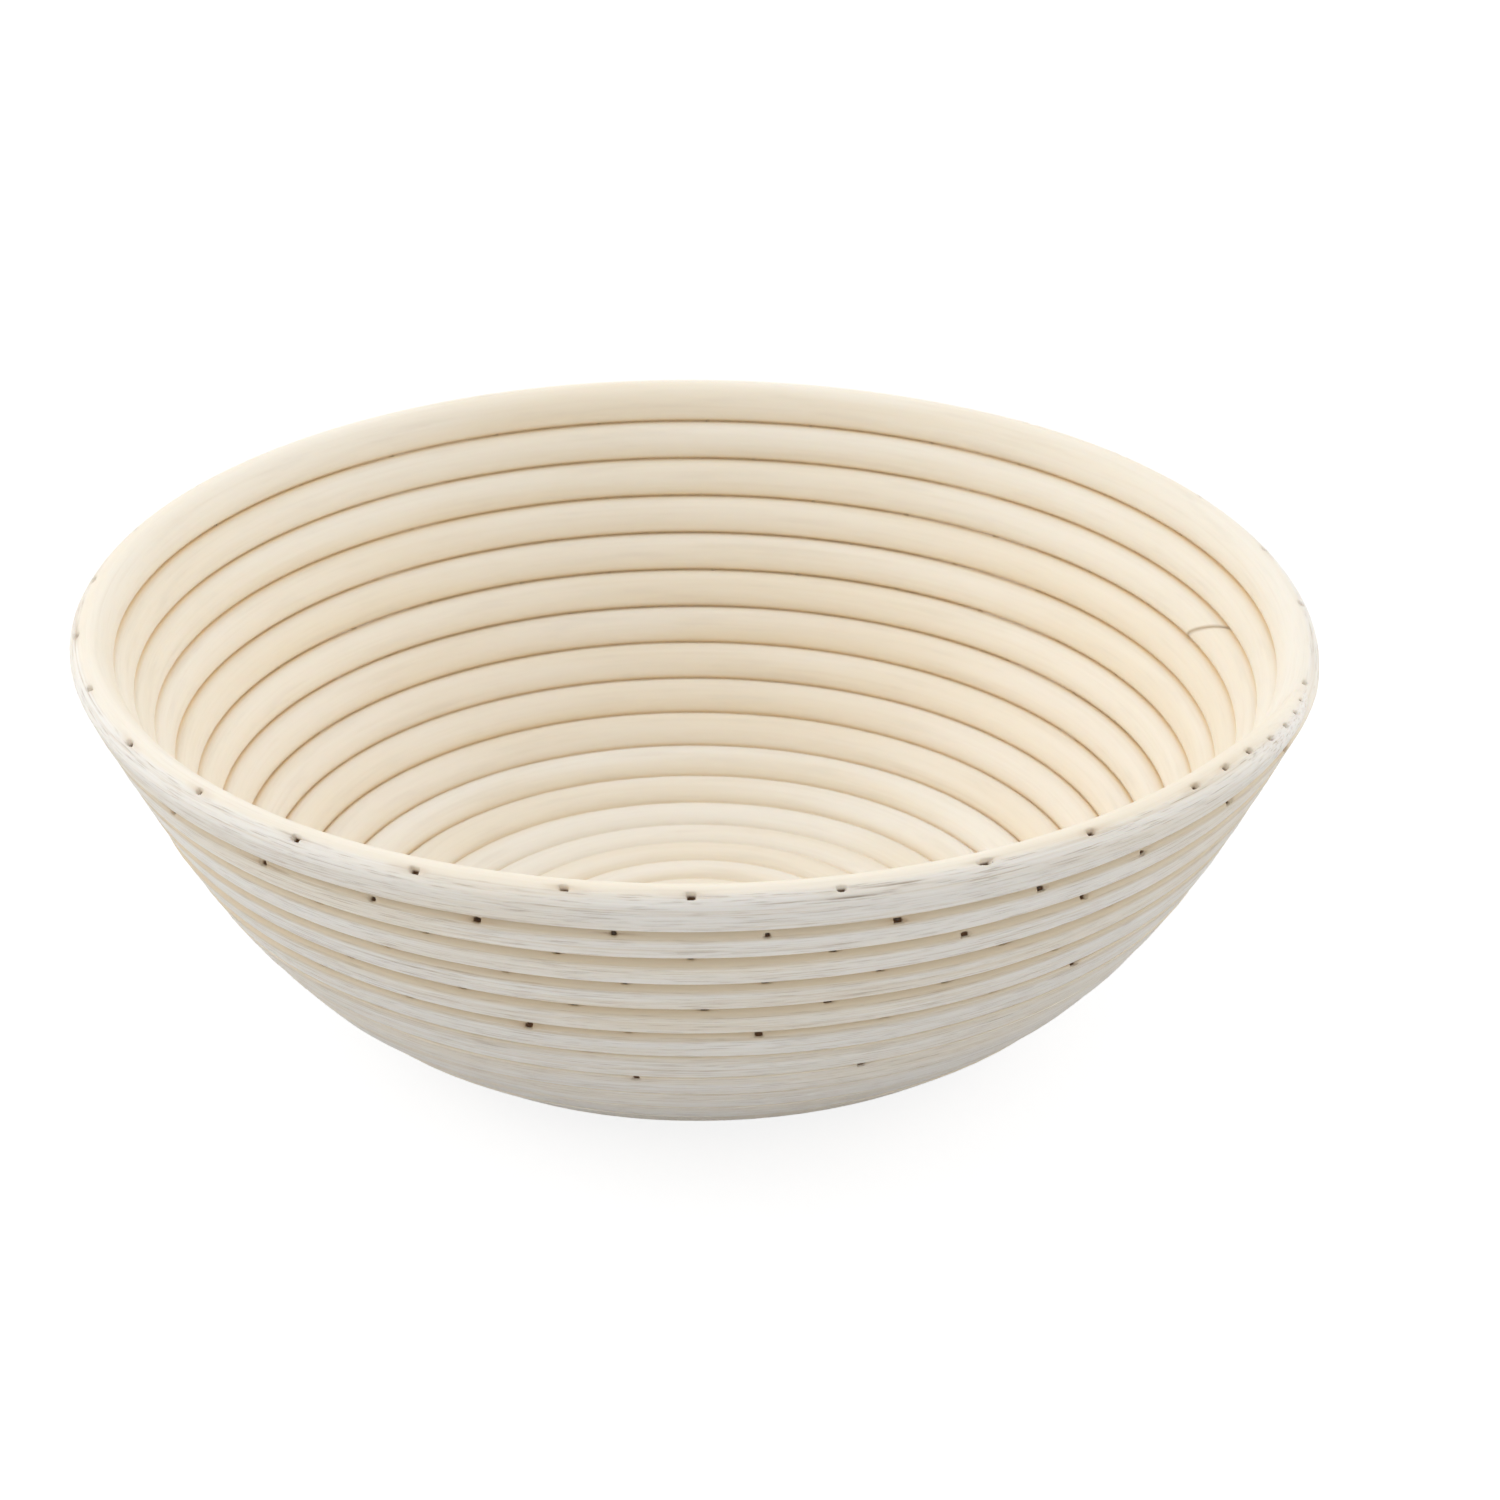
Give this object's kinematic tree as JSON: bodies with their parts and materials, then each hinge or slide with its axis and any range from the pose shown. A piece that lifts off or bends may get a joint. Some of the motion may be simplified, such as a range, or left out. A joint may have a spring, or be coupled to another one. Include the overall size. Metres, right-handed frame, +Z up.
{
  "type": "banneton basket",
  "caption": "Round coiled-cane bread proofing basket: a bowl of one spiral of pinned rattan cane, open at the top, with a ground flat foot.",
  "frame": {"origin": "middle of the bowl on the plane of its ground flat foot", "axes": "+Z up out of the bowl's mouth, +Y to the back, +X to the right; the cane's outer end lies at 345 degrees from +X"},
  "size_m": [0.2498, 0.2504, 0.0855],
  "materials": {
    "rim_cane": "sanded raw rattan",
    "upper_wall_cane": "sanded raw rattan",
    "lower_wall_cane": "sanded raw rattan",
    "floor_cane": "sanded raw rattan",
    "pins": "dull steel"
  },
  "bodies": {
    "root": {"rim_cane": "rim_cane", "upper_wall_cane": "upper_wall_cane", "lower_wall_cane": "lower_wall_cane", "floor_cane": "floor_cane", "rim_cane_pins": "pins", "upper_wall_pins": "pins", "lower_wall_pins": "pins", "floor_pins": "pins", "rim_end_pins": "pins", "splice_pins": "pins"}
  },
  "joints": []
}
